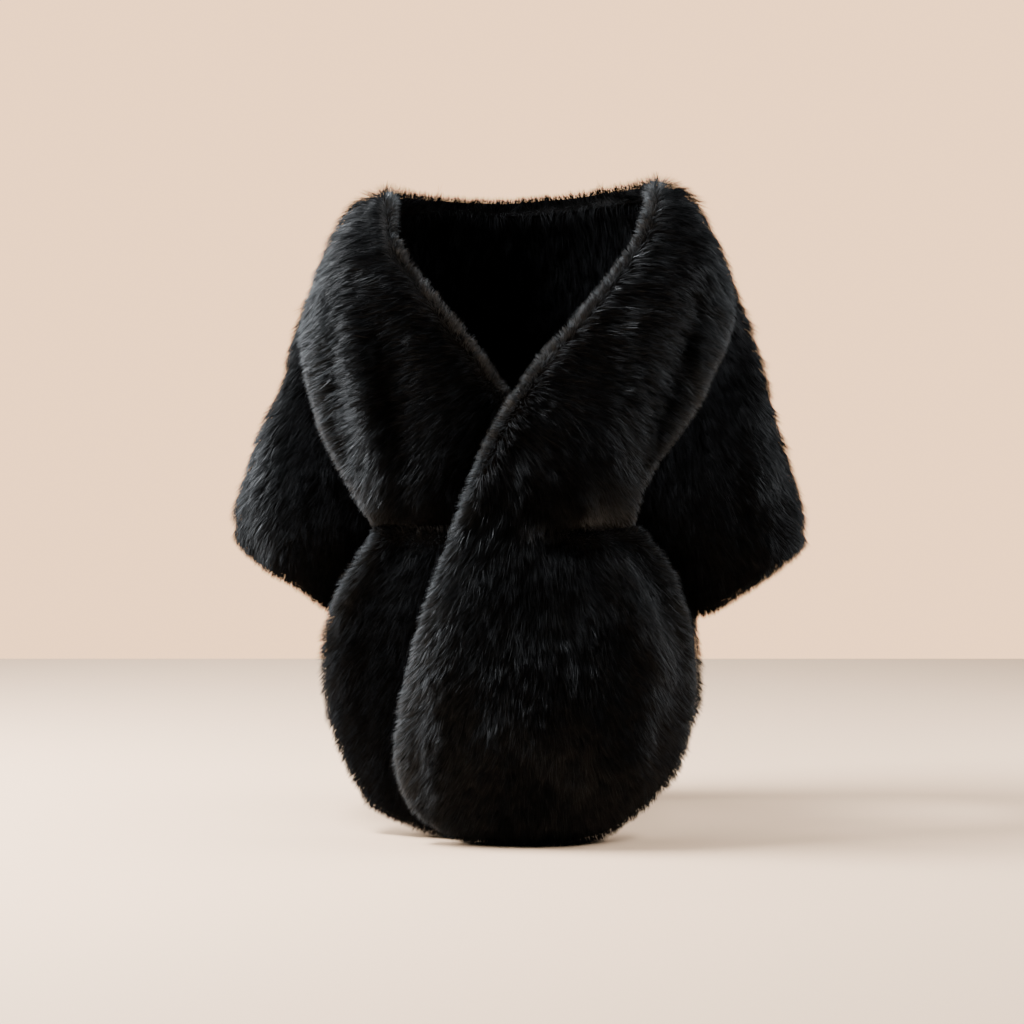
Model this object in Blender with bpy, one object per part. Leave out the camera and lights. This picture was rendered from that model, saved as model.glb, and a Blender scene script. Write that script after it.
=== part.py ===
"""A fur shawl standing open on a surface, as if worn.

Its fronts cross, its side panels hang over the arms, and its back is long.

Metres, +Z up. The origin is on the surface, under the middle of the body. The fronts face -Y and the
back faces +Y. Left and right are the viewer's, so the left side is at -X.

Every panel is double-faced fur: a wall that is worked out about the middle of its thickness, from rings
round the body, and rounded along its free edges. Seamed panels meet with a small gap.
"""
import math

import bmesh
import bpy
from mathutils import Vector

WALL = 0.030  # fur, backing, fur
EDGE_RADIUS = WALL / 2
SEAM_GAP = 0.0003
SEAM_ANGLE = 0.0015  # half that gap as an angle round the rings, in radians
LAYER_GAP = 0.0022  # between the crossed fronts, before they curve
LIFT = WALL + LAYER_GAP  # how far the over front lies in front of the under front
FALL_BACK = 0.140  # width over which it comes back to the rings
EDGE_STEPS = (0.0, 0.15, 0.5, 1.0)  # shares of the edge radius at which a rounded edge is sampled
NEAR_EDGE = 0.08  # nearer to a slanting edge than this, distances are taken square to it
SLOPE_REACH = 0.004
NORMAL_STEPS = (0.004, 0.0012)  # angle and height between the neighbours that a normal is worked out from
LEVEL_BELOW = 0.03  # below this height the wall turns upright, so that its foot is flat
MERGE = 2e-6

RIM_HEIGHT = 0.809
SHOULDER_SEAM_END = 0.690  # below this height the front edge is free and lies over the side panel
WAIST_HEIGHT = 0.390
HEM_LOW = 0.263  # height of the hem where it is this far across, beside the back
HEM_LOW_ACROSS = 0.222
HEM_LEVEL = 0.012  # width of the level stretch there
HEM_HIGH = {"left": 0.358, "right": 0.352}  # and at the elbow
HEM_HIGH_ACROSS = 0.352
SHOULDER_LINE = math.radians(88)
WORN_HEIGHTS = (0.70, 0.80)  # between these the shoulders come to sit higher and lower
SHOULDER_RISE = 0.0065  # the right shoulder sits higher and the left one lower by this
SHOULDER_ACROSS = 0.16
NAPE_DIP = 0.009  # how far the rim dips at the middle of the back
NAPE_WIDTH = 0.10
NAPE_BEHIND = 0.08
RIGHT_FULLNESS = 0.007  # how much further out the right side hangs than the rings
RIGHT_FULL_HEIGHTS = (0.50, 0.62)  # it is half as much below these
LEFT_FULLNESS = 0.005
LEFT_FULL_HEIGHTS = (0.70, 0.60)
FULL_ACROSS = (0.10, 0.24)

VALLEY_FULL = 0.595  # height where the side panel is sunk all the way
TUCK_START = 0.640  # height where it starts to pass behind the front
TUCK_FULL = 0.54
TUCK = 0.035  # how far it passes behind
TUCK_THINNING = 0.45  # share of the wall that is pressed away there
VALLEY_DEPTH = 0.046  # how far the side panel is sunk beside the front's edge
VALLEY_SPANS = (0.045, 0.125)  # width over which it comes back out, at the shoulder and lower down
VALLEY_WIDE = 0.54  # height where it has its full width

OVERLAP_TOP = 0.60  # above this height the crossed fronts part
OVERLAP_HEIGHTS = (0.80, 0.575)  # between these the over front comes to lie on the under one
SIDE_FOLD_ANGLES = (math.radians(90), math.radians(104))  # where its folds start behind the shoulder
SIDE_FOLD_TOP = 0.74
BACK_SEAM_EASE = (0.02, 0.25)  # angles before the back seam between which they end
BACK_FOLD_SPAN = (0.70, 0.96)  # shares of the back's half width between which its own folds end
SIDE_METRES_PER_DEGREE = 0.0035

WAIST_TUCK_DEPTH = 0.010
WAIST_TUCK_SPAN = 0.014
WAIST_THINNING = 0.3  # share of the wall that the gather presses away
WAIST_EASE = 0.030  # height over which the folds fade out towards the waist
OVER_TUCK_FROM = (0.090, 0.165)  # distances from the over front's edge where the gather starts and is full

# Rings round the body, at the middle of the wall, from the rim down.
BODY_COLUMNS = ("height", "half_width", "front_depth", "back_depth")
BODY_RINGS = (
    (0.809, 0.158, 0.058, 0.106),
    (0.804, 0.188, 0.076, 0.114),
    (0.792, 0.207, 0.090, 0.120),
    (0.770, 0.221, 0.100, 0.125),
    (0.735, 0.238, 0.110, 0.130),
    (0.680, 0.2620, 0.120, 0.134),
    (0.610, 0.2890, 0.127, 0.138),
    (0.540, 0.3090, 0.131, 0.141),
    (0.470, 0.3300, 0.131, 0.143),
    (0.410, 0.3490, 0.127, 0.143),
    (0.388, 0.3540, 0.125, 0.143),
    (0.300, 0.3570, 0.125, 0.146),
    (0.250, 0.3550, 0.125, 0.150),
    (0.180, 0.3350, 0.125, 0.154),
    (0.100, 0.3080, 0.125, 0.150),
    (0.000, 0.2850, 0.125, 0.138),
)

# Rings of the two rounded tails below the waist.
TAIL_COLUMNS = ("height", "half_width", "front_depth")
TAIL_RINGS = (
    (0.400, 0.3540, 0.1250),
    (0.390, 0.3535, 0.1250),
    (0.350, 0.3250, 0.1330),
    (0.290, 0.2880, 0.1480),
    (0.220, 0.2740, 0.1600),
    (0.150, 0.2700, 0.1620),
    (0.080, 0.2640, 0.1550),
    (0.000, 0.2520, 0.1400),
)

# The inner edge of each front: the neckline, then the edge that runs down to the waist.
NECK_COLUMNS = ("height", "under", "over")
NECK_EDGE = (
    (0.809, -0.1580, 0.1580),
    (0.790, -0.1560, 0.1555),
    (0.751, -0.1520, 0.1430),
    (0.706, -0.1260, 0.1110),
    (0.661, -0.0880, 0.0750),
    (0.611, -0.0500, 0.0270),
    (0.567, -0.0190, -0.0030),
    (0.500, 0.0210, -0.0420),
    (0.450, 0.0430, -0.0605),
    (0.390, 0.0600, -0.0820),
)

# The outer edge of each front, where it rolls over the side panel.
FOLD_COLUMNS = ("height", "under", "over")
FOLD_EDGE = (
    (0.690, -0.2580, 0.2575),
    (0.641, -0.2700, 0.2600),
    (0.600, -0.2690, 0.2450),
    (0.540, -0.2554, 0.2180),
    (0.482, -0.2340, 0.1790),
    (0.437, -0.2080, 0.1520),
    (0.410, -0.1950, 0.1410),
    (0.390, -0.1850, 0.1400),
)

# Both edges of each tail, from the waist to the surface.
TAIL_EDGE_COLUMNS = ("height", "under_outer", "under_inner", "over_inner", "over_outer")
TAIL_EDGES = (
    (0.390, -0.1850, 0.0600, -0.0820, 0.1400),
    (0.375, -0.1880, 0.0640, -0.0870, 0.1560),
    (0.350, -0.2050, 0.0720, -0.0950, 0.1760),
    (0.310, -0.2280, 0.0850, -0.1090, 0.1940),
    (0.260, -0.2430, 0.0980, -0.1205, 0.2030),
    (0.205, -0.2490, 0.1050, -0.1320, 0.2080),
    (0.160, -0.2440, 0.1040, -0.1400, 0.2060),
    (0.115, -0.2310, 0.0960, -0.1450, 0.1990),
    (0.078, -0.2140, 0.0820, -0.1400, 0.1860),
    (0.048, -0.1970, 0.0650, -0.1270, 0.1580),
    (0.026, -0.1740, 0.0470, -0.1090, 0.1290),
    (0.010, -0.1180, 0.0280, -0.0750, 0.0960),
    (0.000, -0.0550, 0.0120, -0.0250, 0.0580),
)

# The side of the back panel: its seam with the side panel, then a free edge below the hem.
BACK_COLUMNS = ("height", "half_width")
BACK_EDGE = (
    (0.809, 0.1050),
    (0.770, 0.1500),
    (0.690, 0.1800),
    (0.540, 0.2060),
    (0.400, 0.2220),
    (0.275, 0.2320),
    (0.190, 0.2420),
    (0.140, 0.2400),
    (0.095, 0.2290),
    (0.058, 0.2040),
    (0.030, 0.1710),
    (0.012, 0.1380),
    (0.000, 0.1080),
)

# Soft folds. A depth below zero is a trough, above zero a ridge. Across is X, or degrees on a side panel.
PLEAT_COLUMNS = ("across_top", "height_top", "across_bottom", "height_bottom", "width", "depth")
UNDER_FRONT_FOLDS = (
    (-0.232, 0.630, -0.190, 0.430, 0.016, -0.008),
    (-0.204, 0.650, -0.172, 0.430, 0.018, 0.007),
    (-0.150, 0.640, -0.140, 0.450, 0.024, -0.007),
    (-0.110, 0.470, -0.120, 0.400, 0.014, 0.005),
)
OVER_FRONT_FOLDS = (
    (0.215, 0.690, 0.120, 0.430, 0.022, -0.008),
    (0.175, 0.710, 0.070, 0.430, 0.022, 0.007),
    (0.115, 0.640, 0.020, 0.440, 0.026, -0.007),
    (0.040, 0.480, 0.060, 0.400, 0.014, 0.005),
)
UNDER_TAIL_FOLDS = (
    (-0.140, 0.385, -0.195, 0.260, 0.018, -0.007),
    (-0.110, 0.380, -0.160, 0.200, 0.022, 0.006),
    (-0.195, 0.170, -0.165, 0.060, 0.022, -0.006),
)
OVER_TAIL_FOLDS = (
    (0.110, 0.385, 0.172, 0.240, 0.013, -0.010),
    (0.080, 0.380, 0.138, 0.250, 0.016, 0.008),
    (0.040, 0.370, 0.080, 0.270, 0.018, -0.007),
    (0.010, 0.210, 0.095, 0.110, 0.020, 0.008),
    (-0.055, 0.250, -0.040, 0.090, 0.026, -0.009),
    (0.130, 0.150, 0.085, 0.050, 0.020, -0.007),
)
UNDER_SIDE_FOLDS = (
    (78, 0.600, 66, 0.420, 0.024, -0.008),
    (112, 0.640, 104, 0.400, 0.026, -0.008),
    (126, 0.560, 120, 0.330, 0.026, 0.006),
)
OVER_SIDE_FOLDS = (
    (80, 0.570, 70, 0.430, 0.024, -0.007),
    (108, 0.620, 102, 0.420, 0.028, -0.008),
    (124, 0.540, 118, 0.340, 0.024, 0.006),
)
BACK_FOLDS = (
    (-0.120, 0.640, -0.150, 0.380, 0.030, -0.009),
    (0.060, 0.600, 0.085, 0.330, 0.028, -0.008),
    (-0.030, 0.500, -0.045, 0.240, 0.026, 0.007),
    (0.130, 0.420, 0.150, 0.180, 0.028, -0.008),
    (-0.100, 0.300, -0.120, 0.120, 0.028, -0.008),
    (0.010, 0.260, 0.020, 0.080, 0.028, -0.007),
)

TO_ORIGIN = Vector((0.0007, 0.0236, 0.0))  # from the middle of the shoulders to the middle of the whole body

FUR_BLACK = (0.012, 0.012, 0.013)


def column(rows, columns, name, height):
    """One column of a table of falling heights, read smoothly at any height."""
    place = columns.index(name)
    if height >= rows[0][0]:
        return rows[0][place]
    if height <= rows[-1][0]:
        return rows[-1][place]
    below = next(i for i, row in enumerate(rows) if row[0] <= height)
    above = below - 1

    def slope(i):
        if i == 0 or i == len(rows) - 1:
            return None
        return (rows[i + 1][place] - rows[i - 1][place]) / (rows[i + 1][0] - rows[i - 1][0])

    span = rows[below][0] - rows[above][0]
    straight = (rows[below][place] - rows[above][place]) / span
    start, end = slope(above), slope(below)
    start = straight if start is None else start
    end = straight if end is None else end
    t = (height - rows[above][0]) / span
    return (
        rows[above][place] * (1 + 2 * t) * (1 - t) ** 2
        + start * span * t * (1 - t) ** 2
        + rows[below][place] * t * t * (3 - 2 * t)
        + end * span * t * t * (t - 1)
    )


def body(name, height):
    return column(BODY_RINGS, BODY_COLUMNS, name, height)


def smooth(low, high, value):
    """0 at low, 1 at high, with soft ends."""
    t = min(max((value - low) / (high - low), 0.0), 1.0)
    return t * t * (3 - 2 * t)


def rounding(distance):
    """Share of the full thickness at this distance from a free edge."""
    t = min(max(distance / EDGE_RADIUS, 0.0), 1.0)
    return math.sqrt(max(1 - (1 - t) ** 2, 0.0))


def as_worn(point):
    """The shawl hangs a little higher and fuller on its right shoulder, and dips at the nape."""
    near_rim = smooth(*WORN_HEIGHTS, point.z)
    rise = SHOULDER_RISE * min(max(point.x / SHOULDER_ACROSS, -1), 1)
    dip = NAPE_DIP * math.exp(-((point.x / NAPE_WIDTH) ** 2)) * smooth(0.0, NAPE_BEHIND, point.y)
    right = smooth(*FULL_ACROSS, point.x) * (0.5 + 0.5 * smooth(*RIGHT_FULL_HEIGHTS, point.z))
    left = smooth(*FULL_ACROSS, -point.x) * smooth(*LEFT_FULL_HEIGHTS, point.z)
    fuller = RIGHT_FULLNESS * right - LEFT_FULLNESS * left
    return Vector((point.x + fuller, point.y, point.z + (rise - dip) * near_rim))


def fold_height(folds, across, height, across_scale=1.0):
    """How far the soft folds push the wall out here."""
    total = 0.0
    for row in folds:
        fold = dict(zip(PLEAT_COLUMNS, row))
        start = Vector((fold["across_top"] * across_scale, fold["height_top"]))
        end = Vector((fold["across_bottom"] * across_scale, fold["height_bottom"]))
        here = Vector((across * across_scale, height))
        run = end - start
        t = (here - start).dot(run) / run.length_squared
        nearest = start + run * min(max(t, 0.0), 1.0)
        fade = 1 - 0.6 * abs(2 * min(max(t, 0.0), 1.0) - 1) ** 2
        total += fold["depth"] * fade * math.exp(-((here - nearest).length / fold["width"]) ** 2)
    return total


def waist_tuck(layer, across, height):
    """The gather at the waist, from 0 to 1. The over front's edge runs smoothly on past it."""
    near, far = OVER_TUCK_FROM
    share = smooth(near, far, across - inner_edge("over", height)) if layer == "over" else 1.0
    return share * math.exp(-(((height - WAIST_HEIGHT) / WAIST_TUCK_SPAN) ** 2))


def off_waist(height):
    """The folds end at the waist seam, so that the panels meet there without a step."""
    return smooth(0.0, WAIST_EASE, abs(height - WAIST_HEIGHT))


def inner_edge(layer, height):
    """X of the inner edge of a front or, below the waist, of its tail."""
    if height >= WAIST_HEIGHT:
        return column(NECK_EDGE, NECK_COLUMNS, layer, height)
    return column(TAIL_EDGES, TAIL_EDGE_COLUMNS, layer + "_inner", height)


def under_out(across, height, folds):
    """How far the under front and tail stand out from the rings."""
    gathered = WAIST_TUCK_DEPTH * waist_tuck("under", across, height)
    return fold_height(folds, across, height) * off_waist(height) - gathered


def over_out(across, height, folds, folds_beneath):
    """The over front and tail, which lie on the under ones as far as those reach and then fall back."""
    covered = inner_edge("under", min(height, OVERLAP_TOP)) + EDGE_RADIUS
    share = (1 - smooth(covered, covered + FALL_BACK, across)) * smooth(*OVERLAP_HEIGHTS, height)
    own = fold_height(folds, across, height) * off_waist(height)
    beneath = fold_height(folds_beneath, across, height) * off_waist(height)
    out = share * (LIFT + beneath + max(own, 0.0)) + (1 - share) * own
    return out - WAIST_TUCK_DEPTH * waist_tuck("over", across, height)


def seam_fade(angle, height):
    """0 at a side panel's two seams and at the rim, 1 away from them."""
    front = smooth(*SIDE_FOLD_ANGLES, abs(angle)) if height > OVERLAP_TOP else 1.0
    edge = column(BACK_EDGE, BACK_COLUMNS, "half_width", height)
    seam = math.pi - angle_of(edge, body("half_width", height))
    back = smooth(*BACK_SEAM_EASE, seam - abs(angle))
    return front * back * smooth(RIM_HEIGHT, SIDE_FOLD_TOP, height)


def ring_point(angle, half_width, depth):
    """A point on a ring. The angle is 0 at the front, positive to the right, past 90 degrees behind."""
    return Vector((half_width * math.sin(angle), -depth * math.cos(angle), 0.0))


def ring_normal(angle, half_width, depth):
    return Vector((math.sin(angle) * depth, -math.cos(angle) * half_width, 0.0)).normalized()


def front_surface(out_from_rings):
    """The middle of a front panel, at an angle and a height."""

    def point(angle, height):
        width = body("half_width", height)
        depth = body("front_depth", height)
        place = ring_point(angle, width, depth)
        place += ring_normal(angle, width, depth) * out_from_rings(place.x, height)
        place.z = height
        return as_worn(place)

    return point


def tail_surface(out_from_rings):
    """The middle of a tail, at an angle and a height."""

    def point(angle, height):
        width = column(TAIL_RINGS, TAIL_COLUMNS, "half_width", height)
        depth = column(TAIL_RINGS, TAIL_COLUMNS, "front_depth", height)
        place = ring_point(angle, width, depth)
        place += ring_normal(angle, width, depth) * out_from_rings(place.x, height)
        place.z = height
        return place

    return point


def valley(side, layer, angle, height, width, depth):
    """How far a side panel is sunk next to the front, and the tail, that roll over it."""
    if height >= WAIST_HEIGHT:
        edge = abs(column(FOLD_EDGE, FOLD_COLUMNS, layer, height))
    else:
        edge = abs(column(TAIL_EDGES, TAIL_EDGE_COLUMNS, layer + "_outer", height))
    edge_angle = side * min(angle_of(edge, width), SHOULDER_LINE)
    away = (ring_point(angle, width, depth) - ring_point(edge_angle, width, depth)).length
    if abs(angle) < abs(edge_angle):
        away = 0.0
    top, low = VALLEY_SPANS
    span = top + (low - top) * smooth(SHOULDER_SEAM_END, VALLEY_WIDE, height)
    return VALLEY_DEPTH * smooth(SHOULDER_SEAM_END, VALLEY_FULL, height) * (1 - smooth(0.0, span, away))


def side_surface(side, layer, folds):
    """The middle of a side panel. The angle runs from the front round the arm to the back."""

    def point(angle, height):
        width = body("half_width", height)
        depth = body("front_depth" if abs(angle) <= math.pi / 2 else "back_depth", height)
        place = ring_point(angle, width, depth)
        out = fold_height(folds, math.degrees(abs(angle)), height, SIDE_METRES_PER_DEGREE)
        out *= seam_fade(angle, height)
        out -= valley(side, layer, angle, height, width, depth)
        place += ring_normal(angle, width, depth) * out
        place.z = height
        return as_worn(place)

    return point


def back_surface(folds):
    def point(angle, height):
        width = body("half_width", height)
        depth = body("back_depth", height)
        place = ring_point(angle, width, depth)
        across = abs(place.x) / column(BACK_EDGE, BACK_COLUMNS, "half_width", height)
        out = fold_height(folds, place.x, height) * (1 - smooth(*BACK_FOLD_SPAN, across))
        place += ring_normal(angle, width, depth) * out
        place.z = height
        return as_worn(place)

    return point


def normal_of(surface, angle, height):
    """Outward normal of a surface, from close neighbours."""
    step_angle, step_height = NORMAL_STEPS
    low = max(height - step_height, 0.0)
    high = min(height + step_height, RIM_HEIGHT)
    along = surface(angle + step_angle, height) - surface(angle - step_angle, height)
    up = surface(angle, high) - surface(angle, low)
    return along.cross(up).normalized()


def steps(length, middle):
    """Distances along a line of this length, close together at its rounded ends."""
    head = [EDGE_RADIUS * share for share in EDGE_STEPS]
    tail = [length - EDGE_RADIUS * share for share in reversed(EDGE_STEPS)]
    inner = [head[-1] + (tail[0] - head[-1]) * i / (middle + 1) for i in range(1, middle + 1)]
    return head + inner + tail


def walk(surface, start, end, middle, fine=48):
    """Places (angle, height, distance from start, distance to end) along a line in the surface."""
    places = [tuple(a + (b - a) * i / fine for a, b in zip(start, end)) for i in range(fine + 1)]
    points = [surface(*place) for place in places]
    run = [0.0]
    for first, second in zip(points, points[1:]):
        run.append(run[-1] + (second - first).length)
    found = []
    for distance in steps(run[-1], middle):
        i = next((k for k in range(1, len(run)) if run[k] >= distance - 1e-9), len(run) - 1)
        t = (distance - run[i - 1]) / (run[i] - run[i - 1])
        angle, height = (a + (b - a) * t for a, b in zip(places[i - 1], places[i]))
        found.append((angle, height, distance, run[-1] - distance))
    return found


def wall(name, surface, rows, level_rows=()):
    """A closed wall. rows holds lists of (angle, height, half thickness). Level rows lie in a plane."""
    mesh_builder = bmesh.new()
    outer, inner = [], []
    for number, row in enumerate(rows):
        outer_row, inner_row = [], []
        for angle, height, half in row:
            middle = surface(angle, height)
            normal = normal_of(surface, angle, height)
            if number in level_rows:
                normal.z = 0.0
            normal.z *= smooth(0.0, LEVEL_BELOW, height)
            across_wall = normal.normalized() * half
            outer_row.append(mesh_builder.verts.new(middle + across_wall + TO_ORIGIN))
            inner_row.append(mesh_builder.verts.new(middle - across_wall + TO_ORIGIN))
        outer.append(outer_row)
        inner.append(inner_row)
    count, width = len(rows), len(rows[0])
    for i in range(count - 1):
        for j in range(width - 1):
            for grid in (outer, inner):
                quad = [grid[i][j], grid[i][j + 1], grid[i + 1][j + 1], grid[i + 1][j]]
                mesh_builder.faces.new(quad if grid is inner else quad[::-1])
    # The wall's ends. Each is cut on the same diagonal as its neighbour across a seam.
    sides = [((i, j), (i + 1, j)) for i in range(count - 1) for j in (0, width - 1)]
    sides += [((i, j), (i, j + 1)) for j in range(width - 1) for i in (0, count - 1)]
    for (a, b), (c, d) in sides:
        mesh_builder.faces.new([outer[a][b], outer[c][d], inner[c][d]])
        mesh_builder.faces.new([outer[a][b], inner[c][d], inner[a][b]])
    bmesh.ops.remove_doubles(mesh_builder, verts=mesh_builder.verts[:], dist=MERGE)
    bmesh.ops.dissolve_degenerate(mesh_builder, edges=mesh_builder.edges[:], dist=MERGE / 2)
    bmesh.ops.triangulate(mesh_builder, faces=mesh_builder.faces[:])
    bmesh.ops.recalc_face_normals(mesh_builder, faces=mesh_builder.faces[:])
    mesh = bpy.data.meshes.new(name)
    mesh_builder.to_mesh(mesh)
    mesh_builder.free()
    mesh.shade_smooth()
    mesh.materials.append(bpy.data.materials["fur"])
    panel = bpy.data.objects.new(name, mesh)
    bpy.context.scene.collection.objects.link(panel)
    return panel


def angle_of(across, half_width):
    return math.asin(min(max(across / half_width, -1.0), 1.0))


def shoulder_line():
    """(height, distance from the rim) down the shoulder seam, which the fronts, sides and back share."""
    surface = side_surface(1, "over", ())
    line = walk(surface, (SHOULDER_LINE, RIM_HEIGHT), (SHOULDER_LINE, SHOULDER_SEAM_END), FRONT_MIDDLE)
    return [(height, distance) for _, height, distance, _ in line]


def edge_slope(rows, columns, name, height):
    """How fast an edge runs sideways as the height changes."""
    above, below = height + SLOPE_REACH, max(height - SLOPE_REACH, 0.0)
    return (column(rows, columns, name, above) - column(rows, columns, name, below)) / (above - below)


def from_free_edge(distance, slope):
    """Distance from a slanting edge, worked out from the distance to it along a level line."""
    return distance / math.sqrt(1 + slope * slope) if distance < NEAR_EDGE else distance


FRONT_MIDDLE = 8
FRONT_ROWS = (
    0, 0.03, 0.07, 0.12, 0.18, 0.25, 0.33, 0.41, 0.50,
    0.58, 0.66, 0.74, 0.81, 0.87, 0.92, 0.957, 0.982, 1,
)
NECK_EASE = 1.3  # the rows start close together where the neckline leaves the shoulder


def make_front(name, side, layer, out_from_rings):
    """An upper front: a fan of lines from the neckline to the outer edge, from the shoulder to the waist."""
    surface = front_surface(out_from_rings)
    shoulder = shoulder_line()
    limit = SHOULDER_LINE - SEAM_ANGLE
    rows = []
    for number, share in enumerate(FRONT_ROWS):
        neck_height = RIM_HEIGHT + (WAIST_HEIGHT - RIM_HEIGHT) * share**NECK_EASE
        fold_at = SHOULDER_SEAM_END + (WAIST_HEIGHT - SHOULDER_SEAM_END) * share
        if number == len(FRONT_ROWS) - 1:
            neck_height = fold_at = WAIST_HEIGHT + SEAM_GAP / 2
        neck = angle_of(column(NECK_EDGE, NECK_COLUMNS, layer, neck_height), body("half_width", neck_height))
        fold = angle_of(column(FOLD_EDGE, FOLD_COLUMNS, layer, fold_at), body("half_width", fold_at))
        neck = max(min(neck, limit), -limit)
        fold = max(min(fold, limit), -limit)
        if number == 0:
            neck = fold = side * limit
        line = walk(surface, (neck, neck_height), (fold, fold_at), FRONT_MIDDLE)
        row = []
        for place, (angle, height, from_neck, to_fold) in enumerate(line):
            if number == 0:
                height = shoulder[place][0]
            across = body("half_width", height) * math.sin(angle)
            half = WALL / 2 * rounding(from_neck) * rounding(to_fold)
            half *= 1 - WAIST_THINNING * waist_tuck(layer, across, height)
            row.append((angle, height, half))
        rows.append(row)
    return wall(name, surface, rows, level_rows=(len(rows) - 1,))


TAIL_HEIGHTS = (
    0.390, 0.383, 0.373, 0.358, 0.338, 0.312, 0.284, 0.255, 0.226, 0.197, 0.168,
    0.140, 0.113, 0.089, 0.068, 0.050, 0.034, 0.021, 0.010, 0.003, 0.0,
)
TAIL_MIDDLE = 8
FOOT_ROUND = 0.006  # how much of the rounded lower edge is pressed flat by the surface


def make_tail(name, layer, out_from_rings):
    """A rounded tail, from the waist to the surface that it stands on."""
    surface = tail_surface(out_from_rings)
    ends = ("under_outer", "under_inner") if layer == "under" else ("over_inner", "over_outer")
    rows = []
    for number, height in enumerate(TAIL_HEIGHTS):
        if number == 0:
            height -= SEAM_GAP / 2
        half_width = column(TAIL_RINGS, TAIL_COLUMNS, "half_width", height)
        low, high = (column(TAIL_EDGES, TAIL_EDGE_COLUMNS, edge, height) for edge in ends)
        start, end = angle_of(low, half_width), angle_of(high, half_width)
        line = walk(surface, (start, height), (end, height), TAIL_MIDDLE)
        row = []
        for angle, _, from_low, to_high in line:
            half = WALL / 2
            for edge, distance in zip(ends, (from_low, to_high)):
                slope = edge_slope(TAIL_EDGES, TAIL_EDGE_COLUMNS, edge, height)
                half *= rounding(from_free_edge(distance, slope))
            across = half_width * math.sin(angle)
            half *= rounding(height + FOOT_ROUND) * (1 - WAIST_THINNING * waist_tuck(layer, across, height))
            row.append((angle, height, half))
        rows.append(row)
    return wall(name, surface, rows, level_rows=(0, len(rows) - 1))


HEM_SHARES = (0.05, 0.12, 0.20, 0.29, 0.38, 0.47, 0.56, 0.65, 0.74, 0.83, 0.92)
SIDE_COLUMNS = 13
HEM_ROUNDS = 12


def hem_height(across):
    """The hem slants from the elbow down to the back. Beside the back it is level, as high on both sides."""
    high = HEM_HIGH["left" if across < 0 else "right"]
    level_end = HEM_LOW_ACROSS + HEM_LEVEL
    share = (abs(across) - level_end) / (HEM_HIGH_ACROSS - level_end)
    return HEM_LOW + (high - HEM_LOW) * max(share, 0.0)


def lower_heights(end):
    """Heights from the end of the shoulder seam to a hem at this height."""
    run = SHOULDER_SEAM_END - EDGE_RADIUS - end
    heights = [SHOULDER_SEAM_END - run * share for share in HEM_SHARES]
    return heights + [end + EDGE_RADIUS * share for share in reversed(EDGE_STEPS)]


def side_angles(side, layer, height):
    """The angles of a side panel's front and back edges at a height."""
    half_width = body("half_width", height)
    if height >= SHOULDER_SEAM_END:
        front = SHOULDER_LINE
    else:
        edge = abs(column(FOLD_EDGE, FOLD_COLUMNS, layer, max(height, WAIST_HEIGHT)))
        edge -= TUCK * smooth(TUCK_START, TUCK_FULL, height)
        front = min(angle_of(edge, half_width), SHOULDER_LINE)
    back = math.pi - angle_of(column(BACK_EDGE, BACK_COLUMNS, "half_width", height), half_width)
    return side * (front + SEAM_ANGLE), side * (back - SEAM_ANGLE)


def hem_at(side, layer, share):
    """The hem's height at a share of the way round a side panel. Height and width depend on each other."""
    hem = (HEM_LOW + HEM_HIGH["right"]) / 2
    for _ in range(HEM_ROUNDS):
        front, back = side_angles(side, layer, hem)
        hem = hem_height(body("half_width", hem) * math.sin(front + (back - front) * share))
    return hem


def make_side(name, side, layer, folds):
    """A side panel over the arm, from the rim at the shoulder to the slanting hem."""
    surface = side_surface(side, layer, folds)
    shoulder = shoulder_line()
    grid = []
    for number in range(SIDE_COLUMNS + 1):
        upper = [height for height, _ in shoulder]
        grid.append(upper + lower_heights(hem_at(side, layer, number / SIDE_COLUMNS)))
    count = len(grid[0])
    rows = []
    for i in range(count):
        row = []
        for number in range(SIDE_COLUMNS + 1):
            share = number / SIDE_COLUMNS
            height = grid[number][i]
            front, back = side_angles(side, layer, height)
            angle = front + (back - front) * share
            from_rim = shoulder[i][1] if i < len(shoulder) else EDGE_RADIUS
            half = WALL / 2 * rounding(from_rim) * rounding(height - grid[number][-1])
            if number == 0:
                half *= 1 - TUCK_THINNING * smooth(TUCK_START, TUCK_FULL, height)
            row.append((angle, height, half))
        rows.append(row)
    return wall(name, surface, rows)


BACK_ACROSS = 7
BACK_FREE_HEIGHTS = (0.002, -0.05)  # from the hem's corner, where the back's side edge becomes a free one
BACK_TAIL_HEIGHTS = (0.236, 0.206, 0.176, 0.146, 0.118, 0.092, 0.070, 0.051, 0.035, 0.021, 0.010, 0.003, 0.0)


def make_back(name, folds):
    """The back, one long panel from the nape to the surface, with a rounded lower end."""
    surface = back_surface(folds)
    corner = hem_at(1, "over", 1.0)
    shoulder = shoulder_line()
    heights = [height for height, _ in shoulder] + lower_heights(corner) + list(BACK_TAIL_HEIGHTS)
    rows = []
    for i, height in enumerate(heights):
        half_width = body("half_width", height)
        edge = column(BACK_EDGE, BACK_COLUMNS, "half_width", height)
        slope = edge_slope(BACK_EDGE, BACK_COLUMNS, "half_width", height)
        start = angle_of(edge, half_width)
        line = walk(surface, (math.pi - start, height), (math.pi + start, height), BACK_ACROSS)
        free = smooth(*BACK_FREE_HEIGHTS, height - corner)
        from_rim = shoulder[i][1] if i < len(shoulder) else EDGE_RADIUS
        row = []
        for angle, _, from_start, to_end in line:
            half = WALL / 2 * rounding(from_rim) * rounding(height + FOOT_ROUND)
            for distance in (from_start, to_end):
                half *= 1 - free * (1 - rounding(from_free_edge(distance, slope)))
            row.append((angle, height, half))
        rows.append(row)
    return wall(name, surface, rows, level_rows=(len(rows) - 1,))


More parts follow.
